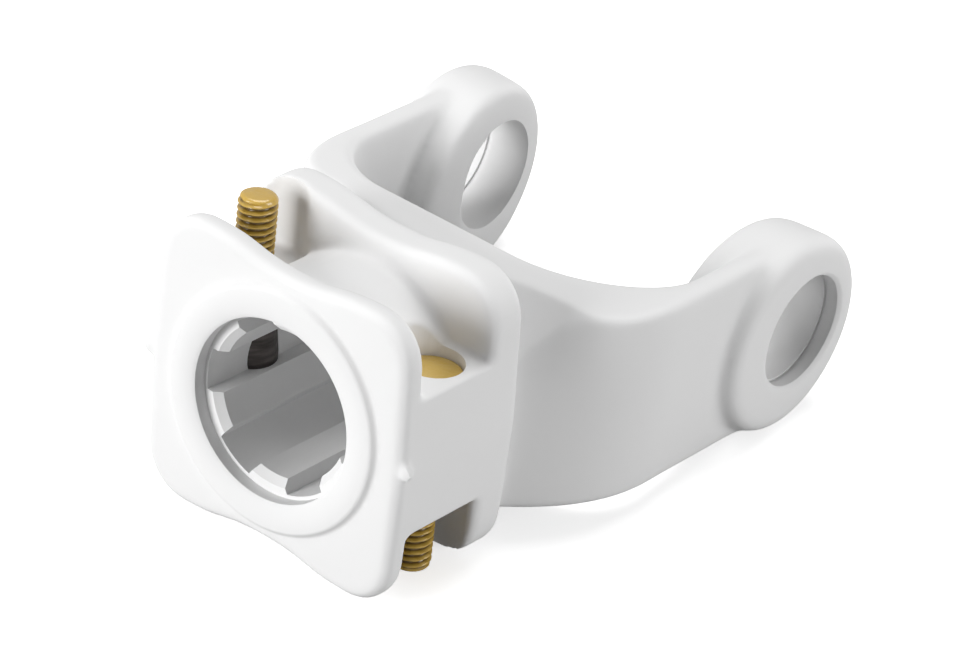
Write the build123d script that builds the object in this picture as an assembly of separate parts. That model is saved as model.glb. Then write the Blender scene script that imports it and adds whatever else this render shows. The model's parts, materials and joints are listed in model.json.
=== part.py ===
from build123d import *
from math import tan, radians
import os

os.makedirs("parts", exist_ok=True)

# Forged clamp yoke of a drive shaft: a splined clamp hub, and a fork with two bored ears.
# X runs along the shaft from the hub to the ears, Y along the cross bore, Z up.
# The origin is where the shaft axis and the cross bore axis meet. All sizes are in mm.
# The forging is not quite true to its machined bores: its fork lies a little low and back.

# Ears and cross bore
CROSS_BORE_R = 15.1
EAR_PROUD = 3.9
EAR_R = 26.6
EAR_OFFSET_X = -3.0
EAR_OFFSET_Z = -0.7
EAR_SKEW_X = 2.6
EAR_INNER_Y = 40.0
EAR_INNER_SLOPE_DEG = 6.3
EAR_EDGE_R = 4.5
EAR_INNER_EDGE_R = 3.0
EAR_CHAMFER = 1.0
RING_GROOVE_WALL_Y = 53.25
RING_GROOVE_W = 1.6
RING_GROOVE_DEPTH = 0.7

# Fork: crossbar and arms, as plan outlines at its top, at its parting plane and at its bottom.
# Each outline has a heel, where the bar's face ends, and a corner that its shoulder turns about.
# Inside, the web is wide at the top of the right arm and the bottom of the left one, else tight.
# Thicknesses are measured from the fork's inner face.
FORK_MID_Z = -1.6
FORK_HALF_H = 26.0
FORK_DEPTH = 65.3
WIDE_CORNER_X = 29.0
WIDE_CORNER_Y = 36.0
TIGHT_CORNER_X = 16.0
TIGHT_CORNER_Y = 18.0
INNER_BEND = 0.53
ARM_INNER_Y = 46.2
ARM_OUTER_Y = 54.4
ARM_STRAIGHT_X = 15.3
BAR_T = 12.7
TOP_DRAFT = 0.8
TOP_HEEL_T = 8.9
TOP_HEEL_Y = 41.0
MID_HEEL_Y = 30.0
MID_CORNER_T = 4.3
LOW_DRAFT = 1.4
LOW_HEEL_T = 25.0
LOW_HEEL_Y = 36.0
LOW_CORNER_T = 7.6
OUTER_BEND = 0.7
FORK_EDGE_R = 2.5
NECK_L = 13.0
NECK_R = 23.8

# Clamp hub: front plate, rear flange, waist and side blocks
FLANGE_T = 12.0
POCKET_W = 24.9
PLATE_T = 7.6
HUB_HALF_W = 38.7
SIDE_DRAFT = 1.0
BULGE_Z = 37.2
WAIST_Z = 34.6
CORNER_W = 12.5
CORNER_H = 13.0
CORNER_PULL = 0.6
PLATE_EDGE_R = 2.8
WAIST_R = 29.8
WAIST_FILLET_R = 2.4
BLOCK_HALF_H = 18.2
BLOCK_INNER_Y = 12.0
SCOOP_R = 12.6
NIB_PROUD = 2.2
NIB_R = 1.9
NIB_Z = 1.5
NIB_L = 2.6
NIB_SETBACK = 0.4
NIB_EDGE_R = 0.7

# Ring around the spline, counterbore and six-spline bore
RING_R = 30.5
RING_PROUD = 1.5
COUNTERBORE_R = 23.1
COUNTERBORE_DEPTH = 4.1
LEAD_IN = 1.8
SPLINE_TIP_R = 18.9
SPLINE_ROOT_R = 22.225
SPLINE_GROOVE_W = 11.15
SPLINE_COUNT = 6

# Clamp pins, each across the hub and leaning a little, with its plain end sunk below the block
PIN_FROM_FLANGE = 9.7
PIN_Y = 27.6
PIN_LEAN_DEG = 3.6
PIN_PLAIN_R = 7.9
PIN_PLAIN_L = 11.0
PIN_NECK_R = 5.4
PIN_THREAD_R = 4.9
PIN_SINK = 2.6
PIN_TAPER_END = 2.0
PIN_TIP_Z = -36.8
PIN_DOME_R = 1.8
PIN_CLEARANCE = 0.1

# Room that cutters and joined pieces have past the face they meet
OVERLAP = 3.0
FAR = 90.0
# Within this, a place or a radius counts as the one looked for
NEAR = 0.01

EAR_FACE_Y = ARM_OUTER_Y + EAR_PROUD
FORK_INNER_X = -FORK_DEPTH
BAR_X = FORK_INNER_X - BAR_T
FLANGE_REAR_X = BAR_X - NECK_L
FLANGE_FRONT_X = FLANGE_REAR_X - FLANGE_T
PLATE_REAR_X = FLANGE_FRONT_X - POCKET_W
PLATE_FRONT_X = PLATE_REAR_X - PLATE_T
RING_FRONT_X = PLATE_FRONT_X - RING_PROUD
PIN_X = FLANGE_FRONT_X - PIN_FROM_FLANGE
LEAN = tan(radians(PIN_LEAN_DEG))


def plane_at_x(x):
    """Plane across the shaft at x, with its first axis along Y and its second along Z."""
    return Plane(origin=(x, 0, 0), x_dir=(0, 1, 0), z_dir=(1, 0, 0))


def along_x(radius, start, end):
    """Cylinder about the shaft axis from start to end."""
    return extrude(plane_at_x(start) * Circle(radius), end - start)


def along_y(radius, start, end, x=0.0, z=0.0):
    """Cylinder about an axis along Y, through x and z, from start to end."""
    plane = Plane(origin=(x, start, z), x_dir=(1, 0, 0), z_dir=(0, 1, 0))
    return extrude(plane * Circle(radius), end - start)


def half_turn(shape):
    """The shape turned half round the shaft axis."""
    return Rot(180, 0, 0) * shape


def hub_outline():
    """Face of the plate and the flange: waisted at top and bottom, its sides leaning as the pins do."""
    side_z = BULGE_Z - CORNER_H
    side_y = HUB_HALF_W - SIDE_DRAFT
    corner_y = side_y - CORNER_W
    edges = []
    for way_y, way_z in ((1, 1), (1, -1), (-1, 1), (-1, -1)):
        def at(y, z):
            return (way_y * y + LEAN * way_z * z, way_z * z)
        edges += [
            Bezier(at(0, WAIST_Z), at(corner_y / 2, WAIST_Z), at(corner_y / 2, BULGE_Z), at(corner_y, BULGE_Z)),
            Bezier(at(corner_y, BULGE_Z), at(corner_y + CORNER_W * CORNER_PULL, BULGE_Z),
                   at(side_y, side_z + CORNER_H * CORNER_PULL), at(side_y, side_z)),
            Line(at(side_y, side_z), at(HUB_HALF_W, 0)),
        ]
    return make_face(Curve() + edges)


def bend(start, corner, end, pull):
    """Curve from start to end that leaves and arrives along the lines to the corner, drawn to it by pull."""
    first = (start[0] + pull * (corner[0] - start[0]), start[1] + pull * (corner[1] - start[1]))
    last = (end[0] + pull * (corner[0] - end[0]), end[1] + pull * (corner[1] - end[1]))
    return Bezier(start, first, last, end)


def fork_half(bar_t, heel_t, heel_y, corner_t, draft, web):
    """Edges of the fork's plan outline at +Y, with web from 0 for the tight inner corner to 1 for the wide."""
    bar_x = FORK_INNER_X - bar_t
    heel_x = FORK_INNER_X - heel_t
    outer_y = ARM_OUTER_Y - draft
    inner_y = ARM_INNER_Y + draft
    outer_x = FORK_INNER_X + ARM_STRAIGHT_X
    inner_x = FORK_INNER_X + TIGHT_CORNER_X + web * (WIDE_CORNER_X - TIGHT_CORNER_X)
    corner_y = inner_y - TIGHT_CORNER_Y - web * (WIDE_CORNER_Y - TIGHT_CORNER_Y)
    return [
        Bezier((bar_x, 0), (bar_x, heel_y / 2), (heel_x, heel_y / 2), (heel_x, heel_y)),
        bend((heel_x, heel_y), (FORK_INNER_X - corner_t, outer_y), (outer_x, outer_y), OUTER_BEND),
        Line((outer_x, outer_y), (EAR_OFFSET_X, outer_y)),
        Line((EAR_OFFSET_X, outer_y), (EAR_OFFSET_X, inner_y)),
        Line((EAR_OFFSET_X, inner_y), (inner_x, inner_y)),
        bend((inner_x, inner_y), (FORK_INNER_X, inner_y), (FORK_INNER_X, corner_y), INNER_BEND),
        Line((FORK_INNER_X, corner_y), (FORK_INNER_X, 0)),
    ]


def fork_outline(left_web, *sizes):
    """Plan face of the fork, closed behind the ears, with the web left over on its right arm."""
    left = fork_half(*sizes, left_web)
    right = fork_half(*sizes, 1 - left_web)
    return make_face(left + [edge.mirror(Plane.XZ) for edge in right])


def make_fork():
    """Crossbar and arms, lofted through the outlines at the bottom, the parting plane and the top."""
    root_t = BAR_T + NECK_L + OVERLAP
    low = fork_outline(1, BAR_T, LOW_HEEL_T, LOW_HEEL_Y, LOW_CORNER_T, LOW_DRAFT)
    middle = fork_outline(0.5, root_t, root_t, MID_HEEL_Y, MID_CORNER_T, 0)
    top = fork_outline(0, BAR_T, TOP_HEEL_T, TOP_HEEL_Y, TOP_HEEL_T, TOP_DRAFT)
    fork = loft([Pos(0, 0, -FORK_HALF_H) * low, middle, Pos(0, 0, FORK_HALF_H) * top])
    for end in (0, -1):
        level = fork.faces().sort_by(Axis.Z)[end].center().Z
        rim = fork.edges().filter_by(lambda edge: abs(edge.center().Z - level) < NEAR
                                     and edge.center().X < EAR_OFFSET_X - OVERLAP)
        fork = fillet(rim, FORK_EDGE_R)
    return Pos(0, 0, FORK_MID_Z) * fork


def make_ear():
    """Boss on the arm at +Y, flared inside, rounded outside, its inner end a little nearer to the hub."""
    start = EAR_INNER_Y - 2 * OVERLAP
    ends = [Plane(origin=(x, y, EAR_OFFSET_Z), x_dir=(1, 0, 0), z_dir=(0, 1, 0)) * Circle(EAR_R)
            for x, y in ((EAR_OFFSET_X - EAR_SKEW_X, start), (EAR_OFFSET_X, EAR_FACE_Y))]
    blank = loft(ends)
    flare = Plane(origin=(0, EAR_INNER_Y, 0), z_dir=(0, 1, 0)).rotated((0, 0, EAR_INNER_SLOPE_DEG))
    blank = split(blank, flare, keep=Keep.TOP)
    blank = fillet(blank.edges().sort_by(Axis.Y)[-1], EAR_EDGE_R)
    return fillet(blank.edges().sort_by(Axis.Y)[0], EAR_INNER_EDGE_R)


def make_hub():
    """Front plate, rear flange, waist and the two side blocks, without bores."""
    outline = hub_outline()
    slabs = []
    for start, end in ((PLATE_FRONT_X, PLATE_REAR_X), (FLANGE_FRONT_X, FLANGE_REAR_X)):
        slab = extrude(plane_at_x(start) * outline, end - start)
        rims = slab.faces().sort_by(Axis.X)[0].edges() + slab.faces().sort_by(Axis.X)[-1].edges()
        slabs.append(fillet(rims, PLATE_EDGE_R))
    core_start = PLATE_FRONT_X + PLATE_EDGE_R
    core_end = FLANGE_REAR_X - PLATE_EDGE_R
    core = extrude(plane_at_x(core_start) * outline, core_end - core_start)
    side = Pos((core_start + core_end) / 2, BLOCK_INNER_Y + FAR / 2, 0) * Box(FAR, FAR, 2 * BLOCK_HALF_H)
    blocks = (core & side) + (core & half_turn(side))
    waist = along_x(WAIST_R, PLATE_FRONT_X + OVERLAP, FLANGE_REAR_X - OVERLAP)
    hub = slabs[0] + slabs[1] + blocks + waist
    arcs = hub.edges().filter_by(GeomType.CIRCLE).filter_by(lambda edge: abs(edge.radius - WAIST_R) < NEAR)
    feet = hub.edges().filter_by(Axis.X).filter_by(lambda edge: abs(edge.center().Y) < WAIST_R)
    hub = fillet(arcs + feet, WAIST_FILLET_R)
    neck = along_x(NECK_R, FLANGE_REAR_X - OVERLAP, BAR_X + OVERLAP)
    ring = loft([plane_at_x(RING_FRONT_X) * Circle(RING_R),
                 plane_at_x(PLATE_FRONT_X + OVERLAP) * Circle(RING_R + RING_PROUD)])
    nib = extrude(plane_at_x(PLATE_FRONT_X + NIB_SETBACK) * Pos(-HUB_HALF_W - NIB_PROUD + NIB_R, NIB_Z)
                  * Circle(NIB_R), NIB_L)
    nib = fillet(nib.edges().filter_by(GeomType.CIRCLE), NIB_EDGE_R)
    return hub + neck + ring + nib + half_turn(nib)


def make_spline():
    """Cutter for the bore: the tip circle with six grooves, the first at +Y, a lead-in and a counterbore."""
    start = RING_FRONT_X
    end = FORK_INNER_X + OVERLAP
    groove = Pos(SPLINE_ROOT_R / 2, 0) * Rectangle(SPLINE_ROOT_R, SPLINE_GROOVE_W)
    star = Sketch() + [Rot(0, 0, i * 360 / SPLINE_COUNT) * groove for i in range(SPLINE_COUNT)]
    star = (star + Circle(SPLINE_TIP_R)) & Circle(SPLINE_ROOT_R)
    bore = extrude(plane_at_x(start) * star, end - start)
    counterbore = along_x(COUNTERBORE_R, start, start + COUNTERBORE_DEPTH)
    lead_in = loft([plane_at_x(start + COUNTERBORE_DEPTH) * Circle(SPLINE_TIP_R + LEAD_IN),
                    plane_at_x(start + COUNTERBORE_DEPTH + LEAD_IN) * Circle(SPLINE_TIP_R)])
    return bore + counterbore + lead_in


def place_right(shape):
    """A shape about the Z axis, moved and leaned to the right pin's place."""
    return Pos(PIN_X, -PIN_Y, 0) * Rot(-PIN_LEAN_DEG, 0, 0) * shape


def pin_profile(grow):
    """Solid of a pin about its own axis, larger all round by the clearance given."""
    end_z = BLOCK_HALF_H - PIN_SINK
    taper_z = PIN_TAPER_END - BLOCK_HALF_H
    points = [
        (0, end_z), (PIN_PLAIN_R + grow, end_z), (PIN_PLAIN_R + grow, end_z - PIN_PLAIN_L),
        (PIN_NECK_R + grow, taper_z), (PIN_THREAD_R + grow, taper_z),
        (PIN_THREAD_R + grow, PIN_TIP_Z), (0, PIN_TIP_Z),
    ]
    return revolve(make_face(Plane.XZ * Polyline(*points, close=True)), Axis.Z)


def make_pin():
    """Right clamp pin: plain end up, taper, threaded end down with a domed tip."""
    pin = pin_profile(0)
    tip = pin.edges().filter_by(GeomType.CIRCLE).sort_by(Axis.Z)[0]
    return place_right(fillet(tip, PIN_DOME_R))


def pin_hole():
    """Cutter for the right pin, open above its sunk end."""
    mouth = Pos(0, 0, BLOCK_HALF_H - PIN_SINK) * Cylinder(
        PIN_PLAIN_R + PIN_CLEARANCE, FAR, align=(Align.CENTER, Align.CENTER, Align.MIN))
    return place_right(pin_profile(PIN_CLEARANCE) + mouth)


def make_scoop():
    """Cutter for the nut and wrench room in the flange, about the right pin's threaded end."""
    room = place_right(Cylinder(SCOOP_R, FAR, align=(Align.CENTER, Align.CENTER, Align.MAX)))
    limit = Pos(PLATE_REAR_X, 0, -BLOCK_HALF_H) * Box(FAR, FAR, FAR, align=(Align.MIN, Align.MAX, Align.MAX))
    return room & limit


def make_yoke():
    """The whole forging with its machined bores."""
    ear = make_ear()
    body = make_hub() + make_fork() + ear + ear.mirror(Plane.XZ)
    groove = along_y(CROSS_BORE_R + RING_GROOVE_DEPTH, RING_GROOVE_WALL_Y, RING_GROOVE_WALL_Y + RING_GROOVE_W)
    cutters = [along_y(CROSS_BORE_R, -FAR, FAR), groove, groove.mirror(Plane.XZ), make_spline()]
    for cutter in (pin_hole(), make_scoop()):
        cutters += [cutter, half_turn(cutter)]
    for cutter in cutters:
        body -= cutter
    rims = body.edges().filter_by(GeomType.CIRCLE).filter_by(
        lambda edge: abs(edge.radius - CROSS_BORE_R) < NEAR and abs(edge.center().Y) > EAR_FACE_Y - NEAR)
    return chamfer(rims, EAR_CHAMFER)


yoke = make_yoke()
right_pin = make_pin()
left_pin = half_turn(right_pin)
export_step(yoke, "parts/yoke.step")
export_step(right_pin, "parts/clamp_pin_right.step")
export_step(left_pin, "parts/clamp_pin_left.step")
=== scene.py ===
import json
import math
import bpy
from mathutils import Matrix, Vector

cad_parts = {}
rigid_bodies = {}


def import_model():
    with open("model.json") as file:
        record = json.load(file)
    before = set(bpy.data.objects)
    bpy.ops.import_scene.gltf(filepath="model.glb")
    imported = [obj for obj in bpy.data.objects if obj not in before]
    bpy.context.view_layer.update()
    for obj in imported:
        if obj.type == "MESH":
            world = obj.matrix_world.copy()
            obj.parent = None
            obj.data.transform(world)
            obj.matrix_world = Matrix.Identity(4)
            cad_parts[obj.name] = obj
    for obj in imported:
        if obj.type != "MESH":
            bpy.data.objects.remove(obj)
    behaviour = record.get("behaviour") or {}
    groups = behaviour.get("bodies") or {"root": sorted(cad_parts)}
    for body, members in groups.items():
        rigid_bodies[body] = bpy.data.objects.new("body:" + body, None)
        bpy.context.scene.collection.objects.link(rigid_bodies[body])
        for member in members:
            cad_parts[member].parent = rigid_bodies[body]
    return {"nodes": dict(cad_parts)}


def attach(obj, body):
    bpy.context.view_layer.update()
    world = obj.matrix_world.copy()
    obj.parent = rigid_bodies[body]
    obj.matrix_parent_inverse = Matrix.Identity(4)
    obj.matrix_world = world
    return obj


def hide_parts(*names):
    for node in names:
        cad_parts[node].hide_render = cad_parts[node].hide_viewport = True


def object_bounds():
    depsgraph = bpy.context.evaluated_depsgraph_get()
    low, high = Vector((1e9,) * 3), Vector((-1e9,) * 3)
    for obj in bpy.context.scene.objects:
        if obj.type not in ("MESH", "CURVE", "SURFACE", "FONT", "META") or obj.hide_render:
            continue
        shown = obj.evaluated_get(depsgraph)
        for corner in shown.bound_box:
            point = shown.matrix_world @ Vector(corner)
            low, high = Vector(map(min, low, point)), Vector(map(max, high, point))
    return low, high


bl_info = {
    "name": "Forged clamp yoke",
    "version": (1, 0, 0),
    "blender": (4, 5, 0),
    "location": "3D Viewport > Sidebar > Yoke",
    "description": "Builds the looks of a painted forged clamp yoke around its CAD frame",
    "category": "Object",
}

import bpy
import numpy as np
from mathutils import Matrix, Vector

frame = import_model()
cad_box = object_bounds()

MM = 0.001

# Camera: its place, and the directions of its right, down and forward sides in the CAD frame
CAMERA_PLACE = (-0.90935, -0.56895, 0.57322)
CAMERA_RIGHT = (0.61589, -0.77392, 0.14742)
CAMERA_DOWN = (-0.30977, -0.40994, -0.85790)
CAMERA_FORWARD = (0.72438, 0.48271, -0.49221)
CAMERA_LENS = 180.29
CAMERA_SENSOR = 36.0

# Lights: name, place in metres, size in metres and power in watts, all turned to LIT_POINT
LIT_POINT = (-0.06, 0, 0)
LIGHTS = (
    ("key", (-1.60, 0.60, 0.34), 0.8, 27.5),
    ("side", (0.40, -1.80, 0.40), 1.1, 23.0),
    ("top", (0.30, 0.35, 1.55), 1.1, 19.0),
)
WORLD_DIFFUSE = 0.12
WORLD_GLOSSY = 0.62
FLOOR_SIZE = 8.0
FLOOR_GAP = 0.05

# Shared sizes in millimetres
FRONT_CLEAR = -140
GROOVE_NEAR = 53.25
GROOVE_FAR = 54.85
GROOVE_DEPTH = 0.7
THREAD_TOP = -16.2
TAPER_TOP = 4.6
PIN_R = 7.9
PIN_END = 15.6
PIN_FOOT = -36.8
PIN_DOME = 1.8
RING_CUT_R = 33.5
RING_CUT_X = -135.55
RING_PROFILE = (
    (0, -137.0), (29.9, -137.0), (30.45, -136.85), (30.8, -136.45), (31.2, -135.85), (31.9, -135.5),
    (33.0, -135.3), (33.0, -133.0), (0, -133.0),
)
MERGE_DISTANCE = 0.0005
PAST_CAD = 0.5

# Counts and angles
FINE_STEPS = 128
WEIGHT_LEVELS = 20
FEWEST_FACES = 1000
FORGING_SMOOTH = math.radians(38)
PIN_SMOOTH = math.radians(50)


# Small tools for objects

def deselect():
    """Leaves nothing selected, in object mode."""
    if bpy.context.object and bpy.context.object.mode != "OBJECT":
        bpy.ops.object.mode_set(mode="OBJECT")
    bpy.ops.object.select_all(action="DESELECT")


def activate(piece):
    """Selects one object only and makes it active."""
    deselect()
    piece.select_set(True)
    bpy.context.view_layer.objects.active = piece


def edit_all(piece):
    """Opens an object in edit mode with all of it selected."""
    activate(piece)
    bpy.ops.object.mode_set(mode="EDIT")
    bpy.ops.mesh.select_all(action="SELECT")


def tidy(piece):
    """Merges doubled points and turns the normals outward."""
    edit_all(piece)
    bpy.ops.mesh.remove_doubles(threshold=MERGE_DISTANCE * MM)
    bpy.ops.mesh.normals_make_consistent(inside=False)
    deselect()


def keep_main_body(piece):
    """Deletes every loose sliver that a cut has left beside the body at the greatest x."""
    edit_all(piece)
    bpy.ops.mesh.select_all(action="DESELECT")
    bpy.ops.object.mode_set(mode="OBJECT")
    piece.data.vertices[int(np.argmax(coordinates(piece)[:, 0]))].select = True
    bpy.ops.object.mode_set(mode="EDIT")
    bpy.ops.mesh.select_linked()
    bpy.ops.mesh.select_all(action="INVERT")
    bpy.ops.mesh.delete(type="VERT")
    deselect()


def new_mesh(name, points, edges=(), faces=()):
    """Object from points in millimetres, with edges or faces."""
    mesh = bpy.data.meshes.new(name)
    mesh.from_pydata([Vector(point) * MM for point in points], list(edges), list(faces))
    piece = bpy.data.objects.new(name, mesh)
    bpy.context.scene.collection.objects.link(piece)
    return piece


def lathe(name, profile, steps=96):
    """Closed solid turned about the Z axis from a profile of (radius, height) in millimetres."""
    points = [(radius, 0, height) for radius, height in profile]
    piece = new_mesh(name, points, [(i, i + 1) for i in range(len(points) - 1)])
    edit_all(piece)
    bpy.ops.mesh.spin(steps=steps, angle=math.tau, center=(0, 0, 0), axis=(0, 0, 1))
    tidy(piece)
    return piece


def place(piece, matrix):
    """Moves a piece's mesh, and leaves its object at the origin."""
    piece.data.transform(matrix)
    piece.data.update()
    return piece


def add_modifier(piece, kind, **settings):
    """Adds a modifier and applies it."""
    activate(piece)
    modifier = piece.modifiers.new(kind.title(), kind)
    for key, value in settings.items():
        setattr(modifier, key, value)
    bpy.ops.object.modifier_apply(modifier=modifier.name)


def join(target, others):
    """Joins other objects into the target."""
    deselect()
    for other in others:
        other.select_set(True)
    target.select_set(True)
    bpy.context.view_layer.objects.active = target
    bpy.ops.object.join()


def combine(target, other, operation):
    """Combines two closed meshes and removes the other.

    The exact solver stands in where the manifold solver leaves the target as it was.
    """
    before = len(target.data.vertices)
    for solver in ("MANIFOLD", "EXACT"):
        if len(target.data.vertices) == before:
            add_modifier(target, "BOOLEAN", operation=operation, solver=solver, object=other)
    bpy.data.objects.remove(other)


def cut(target, cutter):
    """Cuts one closed mesh out of another."""
    combine(target, cutter, "DIFFERENCE")


def ramp(values, low, high):
    """0 below low, 1 above high, smooth between them."""
    share = np.clip((values - low) / (high - low), 0, 1)
    return share * share * (3 - 2 * share)


def coordinates(piece):
    """The points of a mesh in millimetres, as an array."""
    flat = np.empty(len(piece.data.vertices) * 3)
    piece.data.vertices.foreach_get("co", flat)
    return flat.reshape(-1, 3) / MM


def weigh(piece, name, weights):
    """Vertex group from an array of weights, in equal levels."""
    group = piece.vertex_groups.new(name=name)
    levels = np.round(weights * WEIGHT_LEVELS).astype(int)
    for level in range(1, WEIGHT_LEVELS + 1):
        found = np.nonzero(levels == level)[0]
        if len(found):
            group.add(found.tolist(), level / WEIGHT_LEVELS, "REPLACE")
    return group.name


# Small tools for materials

class Sock:
    """An output socket with arithmetic, so that node maths reads as maths."""

    def __init__(self, graph, socket):
        self.graph = graph
        self.socket = socket

    def __add__(self, other):
        return self.graph.math("ADD", self, other)

    def __radd__(self, other):
        return self.graph.math("ADD", other, self)

    def __sub__(self, other):
        return self.graph.math("SUBTRACT", self, other)

    def __rsub__(self, other):
        return self.graph.math("SUBTRACT", other, self)

    def __mul__(self, other):
        return self.graph.math("MULTIPLY", self, other)

    def __rmul__(self, other):
        return self.graph.math("MULTIPLY", other, self)

    def __pow__(self, other):
        return self.graph.math("POWER", self, other)

    def __abs__(self):
        return self.graph.math("ABSOLUTE", self)

    def above(self, low, high):
        """0 below low, 1 above high, smooth between them."""
        inputs = {"Value": self, "From Min": low, "From Max": high}
        return self.graph.get("ShaderNodeMapRange", "Result", inputs, interpolation_type="SMOOTHSTEP")

    def below(self, low, high):
        """1 below low, 0 above high, smooth between them."""
        return 1.0 - self.above(low, high)


class Graph:
    """A material's node tree, with one way to make a node."""

    def __init__(self, name):
        self.material = bpy.data.materials.new(name)
        self.material.use_nodes = True
        self.tree = self.material.node_tree
        self.tree.nodes.clear()

    def node(self, kind, inputs, **settings):
        """Makes a node, sets it up and links or sets its inputs."""
        made = self.tree.nodes.new(kind)
        for key, value in settings.items():
            setattr(made, key, value)
        for key, value in inputs.items():
            if isinstance(value, Sock):
                self.tree.links.new(value.socket, made.inputs[key])
            else:
                made.inputs[key].default_value = value
        return made

    def get(self, kind, output, inputs, **settings):
        """Makes a node and gives one of its outputs."""
        return Sock(self, self.node(kind, inputs, **settings).outputs[output])

    def math(self, operation, *values):
        return self.get("ShaderNodeMath", 0, dict(enumerate(values)), operation=operation)

    def place(self):
        """The point's place in the CAD frame and its three parts."""
        point = self.get("ShaderNodeTexCoord", "Object", {})
        parts = self.node("ShaderNodeSeparateXYZ", {0: point})
        x, y, z = (Sock(self, parts.outputs[index]) for index in range(3))
        return point, x, y, z

    def vector(self, x, y, z):
        return self.get("ShaderNodeCombineXYZ", 0, {0: x, 1: y, 2: z})

    def noise(self, point, scale, detail=2.0, roughness=0.5):
        """Noise about 0, mostly between -0.5 and 0.5."""
        made = self.get("ShaderNodeTexNoise", 0, {"Vector": point, "Scale": scale, "Detail": detail,
                                                  "Roughness": roughness})
        return made - 0.5

    def blend(self, share, first, second):
        """A value between two others."""
        return first + (second - first) * share

    def tint(self, share, first, second):
        """A colour between two others."""
        return self.get("ShaderNodeMix", 2, {0: share, 6: first, 7: second}, data_type="RGBA")

    def distance(self, first, second):
        return (first * first + second * second) ** 0.5

    def pin_radius(self, x, y, z, sizes):
        """Distance from the nearer clamp pin's own axis."""
        away = y - self.math("SIGN", y) * (sizes.pin_y * MM) - z * math.tan(sizes.pin_lean)
        return self.distance(x - sizes.pin_x * MM, away)

    def finish(self, shader_inputs):
        """Ends the tree with a Principled shader."""
        shader = self.get("ShaderNodeBsdfPrincipled", 0, shader_inputs)
        self.node("ShaderNodeOutputMaterial", {0: shader})
        return self.material


def paint_parts(graph, point, sizes):
    """Colour, roughness and height in metres of gloss paint over forged steel."""
    broad = graph.noise(point, 38.0, 3.0)
    fine = graph.noise(point, 420.0, 2.0)
    deep = (*sizes.paint_deep, 1.0)
    light = (*sizes.paint_light, 1.0)
    colour = graph.tint((broad * 1.6 + fine * 0.7 + 0.5).above(0.0, 1.0), deep, light)
    rough = broad * 0.10 + fine * 0.10 + sizes.paint_roughness
    peel = fine * sizes.peel + graph.noise(point, 950.0, 1.0) * (sizes.peel * 0.35)
    return colour, rough, peel


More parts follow.
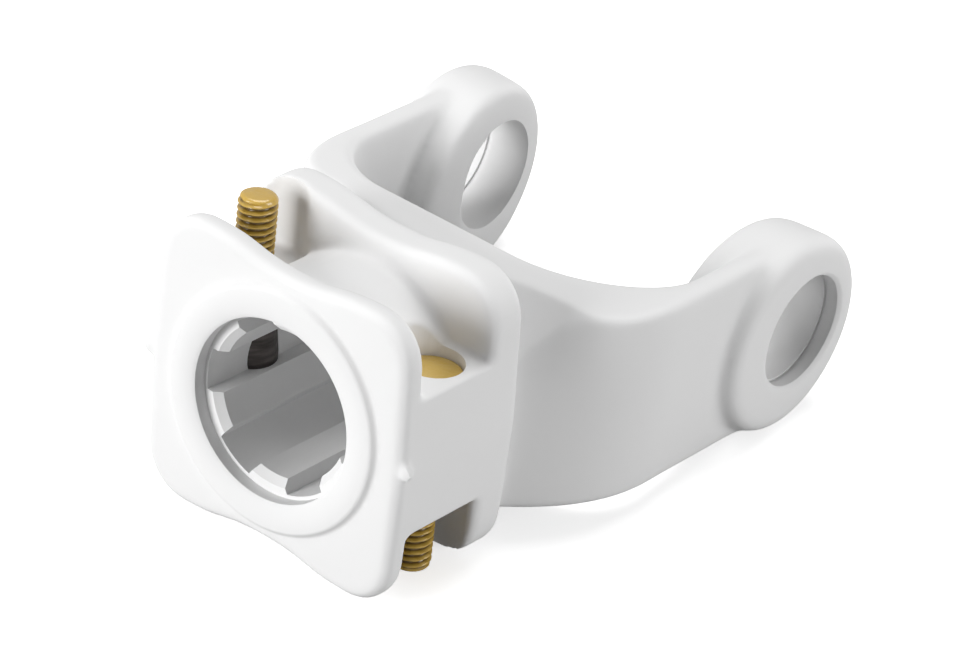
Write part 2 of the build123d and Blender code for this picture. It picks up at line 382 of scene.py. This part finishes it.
def yoke_material(sizes):
    """Paint on the forging, with bare bored ears and a dark broached spline."""
    graph = Graph("yoke_paint_and_steel")
    point, x, y, z = graph.place()
    side = abs(y)
    colour, rough, peel = paint_parts(graph, point, sizes)
    wobble = graph.noise(point, 260.0, 2.0) * (0.9 * MM)

    # Where the paint stops
    cross_r = graph.distance(x, z)
    spline_r = graph.distance(y, z)
    groove = side.above(53.0 * MM, 53.2 * MM) * side.below(54.9 * MM, 55.1 * MM)
    in_cross = (cross_r - groove * (0.7 * MM)).below(15.22 * MM, 15.34 * MM)
    in_cross = in_cross * (side + wobble).below(55.7 * MM, 56.0 * MM) * side.above(20.0 * MM, 21.0 * MM)
    in_spline = spline_r.below(22.35 * MM, 22.5 * MM) * (x + wobble).above(-130.7 * MM, -130.4 * MM)
    in_spline = in_spline * x.below(-65.7 * MM, -65.4 * MM)
    bare = graph.math("MAXIMUM", in_cross, in_spline)

    # Machined steel: rings round the ear bores, long streaks in the spline
    rings = graph.noise(graph.vector(x * 25.0, y * 1500.0, z * 25.0), 1.0, 3.0)
    cloud = graph.noise(point, 70.0, 2.0)
    streaks = graph.noise(graph.vector(x * 30.0, y * 1500.0, z * 1500.0), 1.0, 4.0, 0.65)
    bright = graph.tint((rings * 0.35 + cloud * 1.5 + 0.5).above(0.1, 0.9), (*sizes.steel_dark, 1.0),
                        (*sizes.steel_light, 1.0))
    dark = graph.tint((streaks * 1.8 + 0.45).above(0.1, 0.9), (*sizes.spline_dark, 1.0),
                      (*sizes.spline_light, 1.0))
    steel = graph.tint(in_spline, bright, dark)
    steel_rough = graph.blend(in_spline, rings * 0.10 + 0.47, streaks * 0.25 + 0.36)
    steel_height = graph.blend(in_spline, rings * (0.012 * MM), streaks * (0.045 * MM))

    # Forged skin: pitted on the fork and the flange
    # It is smoother on the front plate, the ear faces and the top of the crossbar
    smooth = graph.math("MAXIMUM", x.below(-130.5 * MM, -127.5 * MM), side.above(56.0 * MM, 58.0 * MM))
    crossbar_top = z.above(22.0 * MM, 24.0 * MM) * x.above(-80.0 * MM, -76.0 * MM) * 0.8
    smooth = graph.math("MAXIMUM", smooth, crossbar_top)
    coarse = graph.noise(point, 170.0, 3.0, 0.6) * sizes.forged
    coarse = coarse + graph.noise(point, 420.0, 2.0) * (sizes.forged * 0.45)
    skin = coarse * graph.blend(smooth, 1.0, 0.22)

    # Trimmed flash: a low ridge and a step along the parting plane on the outer sides
    outside = side.above(35.0 * MM, 37.5 * MM) * x.below(-26.0 * MM, -24.0 * MM)
    outside = outside * x.above(-134.0 * MM, -132.5 * MM)
    sway = graph.noise(graph.vector(x * 30.0, side * 10.0, 0.0), 1.0, 2.0) * (2.2 * MM)
    sway = sway - x.below(-94.0 * MM, -88.0 * MM) * (1.9 * MM)
    upper = abs(z - sway - sizes.flash_top * MM).below(0.15 * MM, 0.75 * MM)
    lower = abs(z + sway - sizes.flash_low * MM).below(0.15 * MM, 0.75 * MM)
    broken = graph.noise(graph.vector(x * 120.0, y * 20.0, 3.0), 1.0, 2.0).above(-0.16, 0.10)
    flash = (upper * (broken * 0.7 + 0.3) + lower * 0.75) * outside
    height = graph.blend(bare, peel + skin + flash * sizes.flash, steel_height)
    # Painted shade: the paint colour darkens in the forged pits, where shade falls
    thin = (coarse * (-1.6 / sizes.forged) * graph.blend(smooth, 1.0, 0.1)).above(0.0, 1.0) * 0.5
    # Painted shadow: the colour also darkens along the flash lines, the shade under their step
    colour = graph.tint(graph.math("MAXIMUM", thin, flash * 0.45), colour, (0.40, 0.235, 0.022, 1.0))
    # Painted shade: the walls of the pin holes are coloured near black, the shade inside the holes
    hole = graph.pin_radius(x, y, z, sizes).below(8.1 * MM, 8.25 * MM) * abs(z).below(17.6 * MM, 17.9 * MM)
    colour = graph.tint(hole * (1.0 - in_spline), colour, (0.045, 0.030, 0.010, 1.0))

    bump = graph.get("ShaderNodeBump", 0, {"Height": height, "Distance": 1.0, "Strength": 1.0})
    return graph.finish({
        "Base Color": graph.tint(bare, colour, steel),
        "Metallic": bare * 0.95,
        "Roughness": graph.blend(bare, rough, steel_rough),
        "Coat Weight": (1.0 - bare) * sizes.coat,
        "Coat Roughness": 0.07,
        "Normal": bump,
    })


def pin_material(sizes):
    """The same gloss paint, thinner over a machined pin, and bare steel inside the hub, its colour darkened
    to near black as painted shade.
    """
    graph = Graph("pin_paint_and_steel")
    point, x, y, z = graph.place()
    colour, rough, peel = paint_parts(graph, point, sizes)
    skin = graph.noise(point, 300.0, 3.0) * (sizes.forged * 0.3)

    # Painted shade: the thread's grooves are coloured darker, where shade falls
    radius = graph.pin_radius(x, y, z, sizes)
    crest = radius.above((sizes.thread_r - sizes.thread_depth) * MM, (sizes.thread_r - 0.15) * MM)
    groove = (1.0 - crest) * abs(z).above(17.0 * MM, 18.5 * MM) * abs(z).below(35.3 * MM, 36.0 * MM)
    colour = graph.tint(groove * 0.9, colour, (0.07, 0.038, 0.006, 1.0))
    # Bare steel inside the hub, darkened to near black as painted shade inside the hole
    inside = abs(z).below(13.5 * MM, 14.0 * MM)
    steel = graph.noise(graph.vector(x * 100.0, y * 100.0, z * 900.0), 1.0, 3.0).above(-0.4, 0.4)
    steel = graph.tint(steel, (0.03, 0.027, 0.025, 1.0), (*sizes.spline_dark, 1.0))
    bump = graph.get("ShaderNodeBump", 0, {"Height": peel + skin, "Distance": 1.0, "Strength": 1.0})
    return graph.finish({
        "Base Color": graph.tint(inside, colour, steel),
        "Metallic": inside * 0.9,
        "Roughness": graph.blend(inside, rough, 0.45),
        "Coat Weight": (1.0 - inside) * sizes.coat,
        "Coat Roughness": 0.07,
        "Normal": bump,
    })


def floor_material():
    """Plain pale floor with a faint mottle, white to the camera and darker in the light it throws back."""
    graph = Graph("pale_floor")
    point = graph.place()[0]
    shade = graph.noise(point, 3.0, 1.0).above(-0.5, 0.5)
    colour = graph.tint(shade, (0.93, 0.93, 0.93, 1.0), (0.95, 0.95, 0.95, 1.0))
    seen = graph.get("ShaderNodeBsdfPrincipled", 0, {
        "Base Color": colour, "Roughness": 0.95, "Specular IOR Level": 0.0,
        "Emission Color": (1.0, 1.0, 1.0, 1.0), "Emission Strength": 0.60})
    thrown = graph.get("ShaderNodeBsdfPrincipled", 0, {
        "Base Color": (0.42, 0.42, 0.42, 1.0), "Roughness": 0.95, "Specular IOR Level": 0.0})
    camera_ray = graph.get("ShaderNodeLightPath", "Is Camera Ray", {})
    mixed = graph.get("ShaderNodeMixShader", 0, {0: camera_ray, 1: thrown, 2: seen})
    graph.node("ShaderNodeOutputMaterial", {0: mixed})
    return graph.material


# Sizes and colours

class YokeSizes(bpy.types.PropertyGroup):
    """Sizes in millimetres and colours of the yoke's looks."""

    voxel: bpy.props.FloatProperty(
        name="Voxel", description="Grid the forging's skin is remade on, in mm", default=0.8, min=0.4)
    keep: bpy.props.FloatProperty(
        name="Keep", description="Share of the faces kept after remaking the skin",
        default=0.45, min=0.1, max=1.0)
    fork_blend: bpy.props.IntProperty(
        name="Fork blend", description="Rounds of smoothing where the ears meet the arms",
        default=26, min=0)
    hub_blend: bpy.props.IntProperty(
        name="Hub blend", description="Rounds of smoothing on the hub", default=4, min=0)
    cross_bore_r: bpy.props.FloatProperty(
        name="Cross bore", description="Radius of the bores in the ears, in mm", default=15.1)
    spline_tip_r: bpy.props.FloatProperty(
        name="Spline tips", description="Radius to the spline's tooth tips, in mm", default=18.9)
    spline_root_r: bpy.props.FloatProperty(
        name="Spline roots", description="Radius to the spline's groove floors, in mm", default=22.225)
    spline_groove: bpy.props.FloatProperty(
        name="Spline groove", description="Width of a spline groove, in mm", default=11.15)
    counterbore_r: bpy.props.FloatProperty(
        name="Counterbore", description="Radius of the counterbore at the mouth, in mm", default=23.1)
    pin_lean: bpy.props.FloatProperty(
        name="Pin lean", description="How far the clamp pins lean",
        default=math.radians(3.6), subtype="ANGLE")
    pin_y: bpy.props.FloatProperty(
        name="Pin distance", description="Distance of a pin from the shaft axis, in mm", default=27.6)
    pin_x: bpy.props.FloatProperty(
        name="Pin place", description="Place of the pins along the shaft, in mm", default=-112.7)
    thread_r: bpy.props.FloatProperty(
        name="Thread radius", description="Outer radius of the thread, in mm", default=4.9)
    thread_pitch: bpy.props.FloatProperty(
        name="Thread pitch", description="Distance between thread turns, in mm", default=1.75)
    thread_depth: bpy.props.FloatProperty(
        name="Thread depth", description="Depth of the painted thread, in mm", default=1.1)
    paint_light: bpy.props.FloatVectorProperty(
        name="Light paint", description="Paint where it is thick", subtype="COLOR",
        default=(0.60, 0.405, 0.085))
    paint_deep: bpy.props.FloatVectorProperty(
        name="Deep paint", description="Paint where it is thin", subtype="COLOR",
        default=(0.53, 0.335, 0.050))
    paint_roughness: bpy.props.FloatProperty(
        name="Paint roughness", description="Middle roughness of the paint", default=0.33)
    coat: bpy.props.FloatProperty(
        name="Coat", description="Weight of the clear gloss on the paint", default=0.55)
    peel: bpy.props.FloatProperty(
        name="Peel", description="Height of the orange peel, in m", default=0.00011, precision=6)
    forged: bpy.props.FloatProperty(
        name="Forged skin", description="Height of the forged pits, in m", default=0.00095, precision=6)
    flash: bpy.props.FloatProperty(
        name="Flash", description="Height of the trimmed flash lines, in m", default=0.00030, precision=6)
    flash_top: bpy.props.FloatProperty(
        name="Upper flash line", description="Height of the upper line, in mm", default=1.0)
    flash_low: bpy.props.FloatProperty(
        name="Lower flash line", description="Height of the lower line, in mm", default=-4.2)
    steel_light: bpy.props.FloatVectorProperty(
        name="Light steel", description="Bored steel", subtype="COLOR", default=(0.35, 0.325, 0.335))
    steel_dark: bpy.props.FloatVectorProperty(
        name="Dark steel", description="Bored steel in its rings", subtype="COLOR",
        default=(0.14, 0.128, 0.13))
    spline_light: bpy.props.FloatVectorProperty(
        name="Light spline", description="Broached steel", subtype="COLOR", default=(0.52, 0.48, 0.46))
    spline_dark: bpy.props.FloatVectorProperty(
        name="Dark spline", description="Broached steel in its streaks", subtype="COLOR",
        default=(0.13, 0.115, 0.11))


def pin_place(sizes, side):
    """Matrix from a pin's own axis along Z to its place; side is 1 for the right pin, -1 for the left."""
    right = Matrix.Translation(Vector((sizes.pin_x, -sizes.pin_y, 0)) * MM)
    right = right @ Matrix.Rotation(-sizes.pin_lean, 4, "X")
    return right if side == 1 else Matrix.Rotation(math.pi, 4, "X") @ right


def spline_cutter(sizes):
    """Star prism of six grooves, the first at +Y, from the mouth to past the crossbar."""
    half = sizes.spline_groove / 2
    tip = math.asin(half / sizes.spline_tip_r)
    root = math.asin(half / sizes.spline_root_r)
    outline = []
    for groove in range(6):
        middle = math.radians(60 * groove)
        for step in range(9):
            outline.append((sizes.spline_root_r, middle - root + 2 * root * step / 8))
        for step in range(9):
            outline.append((sizes.spline_tip_r, middle + tip + (math.radians(60) - 2 * tip) * step / 8))
    points = [(FRONT_CLEAR, radius * math.cos(angle), radius * math.sin(angle)) for radius, angle in outline]
    piece = new_mesh("spline_cutter", points, faces=[tuple(range(len(points)))])
    edit_all(piece)
    bpy.ops.mesh.extrude_region_move(TRANSFORM_OT_translate={"value": (80.0 * MM, 0, 0)})
    tidy(piece)
    return piece


class YOKE_OT_forging(bpy.types.Operator):
    """Remakes the forging with soft blends and recuts its machined bores"""

    bl_idname = "yoke.forging"
    bl_label = "Forging"

    def execute(self, context):
        sizes = context.scene.yoke_sizes
        node = frame["nodes"]["yoke"]
        piece = bpy.data.objects.new("forging", node.data.copy())
        context.scene.collection.objects.link(piece)
        piece.data.materials.clear()
        tidy(piece)
        to_y = Matrix.Rotation(-math.pi / 2, 4, "X")
        to_x = Matrix.Rotation(math.pi / 2, 4, "Y")

        # Plugs fill the bores, so that the skin is remade without them
        plugs = []
        for low, high in ((-57.9, -41.5), (41.5, 57.9)):
            plugs.append(place(lathe("plug", [(0, low), (16.3, low), (16.3, high), (0, high)], 48), to_y))
        spline = [(0, -136.7), (23.5, -136.7), (23.5, -66.3), (0, -66.3)]
        plugs.append(place(lathe("plug", spline, 64), to_x))
        for side in (1, -1):
            pin = lathe("plug", [(0, -17.2), (8.3, -17.2), (8.3, 17.2), (0, 17.2)], 48)
            plugs.append(place(pin, pin_place(sizes, side)))
        join(piece, plugs)
        add_modifier(piece, "REMESH", mode="VOXEL", voxel_size=sizes.voxel * MM, adaptivity=0.0)

        # Blends: strong where the ears meet the arms, light on the hub, none on flat machined faces
        at = coordinates(piece)
        x, y, z = at[:, 0], np.abs(at[:, 1]), at[:, 2]
        fork = ramp(x, -60.0, -42.0) * (1 - 0.85 * ramp(y, 54.5, 57.5))
        hub = (1 - ramp(x, -56.0, -42.0)) * (0.2 + 0.8 * ramp(x, -131.0, -128.0))
        add_modifier(piece, "SMOOTH", factor=0.5, iterations=sizes.fork_blend,
                     vertex_group=weigh(piece, "fork", fork))
        add_modifier(piece, "SMOOTH", factor=0.5, iterations=sizes.hub_blend,
                     vertex_group=weigh(piece, "hub", hub))
        add_modifier(piece, "DECIMATE", ratio=sizes.keep)
        piece.vertex_groups.clear()

        # An exact turned ring takes the place of the soft one
        around = [(0, FRONT_CLEAR), (RING_CUT_R, FRONT_CLEAR), (RING_CUT_R, RING_CUT_X), (0, RING_CUT_X)]
        cut(piece, place(lathe("ring_cutter", around, FINE_STEPS), to_x))
        combine(piece, place(lathe("ring", RING_PROFILE, FINE_STEPS), to_x), "UNION")

        # Machined bores, with snap-ring grooves and painted chamfers at the ears' outer faces
        bore = sizes.cross_bore_r
        half = [(bore, 0), (bore, GROOVE_NEAR), (bore + GROOVE_DEPTH, GROOVE_NEAR),
                (bore + GROOVE_DEPTH, GROOVE_FAR), (bore, GROOVE_FAR), (bore, 57.3), (bore + 2.2, 59.5)]
        profile = [(0, -59.5)] + [(r, -h) for r, h in reversed(half[1:])] + half[1:] + [(0, 59.5)]
        cut(piece, place(lathe("cross_cutter", profile, FINE_STEPS), to_y))
        cut(piece, spline_cutter(sizes))
        wide = sizes.counterbore_r
        tip = sizes.spline_tip_r
        mouth = [(0, FRONT_CLEAR), (wide + 1.2, FRONT_CLEAR), (wide + 1.2, -137.2), (wide, -136.4),
                 (wide, -132.9), (tip + 1.8, -132.9), (tip, -131.1), (0, -131.1)]
        cut(piece, place(lathe("mouth_cutter", mouth, FINE_STEPS), to_x))
        for side in (1, -1):
            hole = [(0, -44), (5.0, -44), (5.0, THREAD_TOP), (5.5, THREAD_TOP), (8.0, TAPER_TOP),
                    (8.0, 40), (0, 40)]
            cut(piece, place(lathe("pin_cutter", hole, 72), pin_place(sizes, side)))
        keep_main_body(piece)
        tidy(piece)
        activate(piece)
        bpy.ops.object.shade_smooth_by_angle(angle=FORGING_SMOOTH)
        if len(piece.data.polygons) < FEWEST_FACES:
            raise RuntimeError("the forging came out empty")
        if np.abs(coordinates(piece)[:, 2]).max() > abs(cad_box[0][2]) / MM + PAST_CAD:
            raise RuntimeError("the forging reaches past the CAD part")
        piece.data.materials.append(yoke_material(sizes))
        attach(piece, "root")
        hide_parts("yoke")
        return {"FINISHED"}


def make_pin(sizes, name, side):
    """One clamp pin with its painted thread."""
    profile = [(0, PIN_END), (6.9, PIN_END), (7.55, 15.35), (PIN_R, 14.8), (PIN_R, TAPER_TOP),
               (5.4, THREAD_TOP), (4.9, THREAD_TOP)]
    rows = 84
    for row in range(1, rows + 1):
        height = THREAD_TOP + (PIN_FOOT + PIN_DOME - THREAD_TOP) * row / rows
        profile.append((sizes.thread_r, height))
    for turn in range(1, 8):
        angle = math.radians(90 * turn / 8)
        inset = PIN_DOME * (1 - math.cos(angle))
        profile.append((sizes.thread_r - inset, PIN_FOOT + PIN_DOME - PIN_DOME * math.sin(angle)))
    profile += [(sizes.thread_r * 0.35, PIN_FOOT), (0, PIN_FOOT)]
    piece = lathe(name, profile, 64)

    # The thread: one ridge that climbs round the lower end and fades at both ends
    at = coordinates(piece)
    radius = np.hypot(at[:, 0], at[:, 1])
    angle = np.arctan2(at[:, 1], at[:, 0])
    phase = np.mod(at[:, 2] / sizes.thread_pitch - angle / math.tau, 1.0)
    ridge = ramp(np.abs(phase - 0.5) * 2, 0.20, 0.72)
    on_thread = ramp(-at[:, 2], 16.6, 18.0) * (1 - ramp(-at[:, 2], 35.2, 36.3)) * (radius > 3.5)
    shrink = 1 - sizes.thread_depth * ridge * on_thread / np.maximum(radius, 1.0)
    at[:, 0] *= shrink
    at[:, 1] *= shrink
    piece.data.vertices.foreach_set("co", (at * MM).ravel())
    piece.data.update()
    place(piece, pin_place(sizes, side))
    tidy(piece)
    activate(piece)
    bpy.ops.object.shade_smooth_by_angle(angle=PIN_SMOOTH)
    return piece


class YOKE_OT_pins(bpy.types.Operator):
    """Makes the two clamp pins with their threads"""

    bl_idname = "yoke.pins"
    bl_label = "Clamp pins"

    def execute(self, context):
        sizes = context.scene.yoke_sizes
        material = pin_material(sizes)
        for node, side in (("clamp_pin_right", 1), ("clamp_pin_left", -1)):
            piece = make_pin(sizes, node + "_threaded", side)
            piece.data.materials.append(material)
            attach(piece, "root")
            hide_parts(node)
        return {"FINISHED"}


def resting_slope():
    """Slope and height of the plane that the yoke rests on, under its hub and its ears."""
    node = frame["nodes"]["yoke"]
    at = coordinates(node)
    hub = at[at[:, 0] < -60]
    ears = at[at[:, 0] > -40]
    low, high = 0.0, 0.4
    for _ in range(40):
        slope = (low + high) / 2
        if (hub[:, 2] - slope * hub[:, 0]).min() < (ears[:, 2] - slope * ears[:, 0]).min():
            low = slope
        else:
            high = slope
    return slope, (at[:, 2] - slope * at[:, 0]).min()


def area_light(name, place_at, target, size, power):
    """Soft square light that looks at a point."""
    bpy.ops.object.light_add(type="AREA", location=place_at)
    lamp = bpy.context.object
    lamp.name = name
    lamp.data.size = size
    lamp.data.energy = power
    lamp.rotation_euler = (Vector(target) - Vector(place_at)).to_track_quat("-Z", "Y").to_euler()


class YOKE_OT_stage(bpy.types.Operator):
    """Adds the floor, the lights, the world and the camera"""

    bl_idname = "yoke.stage"
    bl_label = "Stage"

    def execute(self, context):
        deselect()
        slope, height = resting_slope()
        bpy.ops.mesh.primitive_plane_add(size=1.0, location=(0, 0, 0))
        floor = context.object
        floor.name = "floor"
        tilt = Matrix.Rotation(-math.atan(slope), 4, "Y")
        down = Matrix.Translation((0, 0, (height - FLOOR_GAP) * MM))
        place(floor, down @ tilt @ Matrix.Scale(FLOOR_SIZE, 4))
        floor.data.materials.append(floor_material())

        for name, place_at, size, power in LIGHTS:
            area_light(name, place_at, LIT_POINT, size, power)

        world = bpy.data.worlds.new("white_room")
        context.scene.world = world
        world.use_nodes = True
        tree = world.node_tree
        tree.nodes.clear()
        rays = tree.nodes.new("ShaderNodeLightPath")
        glossy = tree.nodes.new("ShaderNodeMapRange")
        glossy.inputs["To Min"].default_value = WORLD_DIFFUSE
        glossy.inputs["To Max"].default_value = WORLD_GLOSSY
        strength = tree.nodes.new("ShaderNodeMath")
        strength.operation = "MAXIMUM"
        background = tree.nodes.new("ShaderNodeBackground")
        background.inputs["Color"].default_value = (1.0, 1.0, 1.0, 1.0)
        output = tree.nodes.new("ShaderNodeOutputWorld")
        tree.links.new(rays.outputs["Is Glossy Ray"], glossy.inputs["Value"])
        tree.links.new(glossy.outputs["Result"], strength.inputs[0])
        tree.links.new(rays.outputs["Is Camera Ray"], strength.inputs[1])
        tree.links.new(strength.outputs[0], background.inputs["Strength"])
        tree.links.new(background.outputs[0], output.inputs[0])

        bpy.ops.object.camera_add()
        camera = context.object
        rows = (Vector(CAMERA_RIGHT), -Vector(CAMERA_DOWN), -Vector(CAMERA_FORWARD))
        turn = Matrix(rows).transposed().to_4x4()
        camera.matrix_world = Matrix.Translation(CAMERA_PLACE) @ turn
        camera.data.sensor_width = CAMERA_SENSOR
        camera.data.lens = CAMERA_LENS
        camera.data.clip_start = 0.05
        camera.data.clip_end = 20.0
        context.scene.camera = camera
        context.scene.view_settings.view_transform = "Standard"
        return {"FINISHED"}


class YOKE_PT_panel(bpy.types.Panel):
    """Panel with the yoke's steps and sizes"""

    bl_idname = "YOKE_PT_panel"
    bl_label = "Forged clamp yoke"
    bl_space_type = "VIEW_3D"
    bl_region_type = "UI"
    bl_category = "Yoke"

    def draw(self, context):
        for step in STEPS:
            self.layout.operator(step.bl_idname)
        for key in YokeSizes.__annotations__:
            self.layout.prop(context.scene.yoke_sizes, key)


STEPS = (YOKE_OT_forging, YOKE_OT_pins, YOKE_OT_stage)
CLASSES = (YokeSizes, *STEPS, YOKE_PT_panel)


def register():
    for item in CLASSES:
        bpy.utils.register_class(item)
    bpy.types.Scene.yoke_sizes = bpy.props.PointerProperty(type=YokeSizes)


def unregister():
    del bpy.types.Scene.yoke_sizes
    for item in reversed(CLASSES):
        bpy.utils.unregister_class(item)


def main():
    """Builds the looks in order."""
    register()
    bpy.ops.yoke.forging()
    bpy.ops.yoke.pins()
    bpy.ops.yoke.stage()
    deselect()


if __name__ == "__main__":
    main()
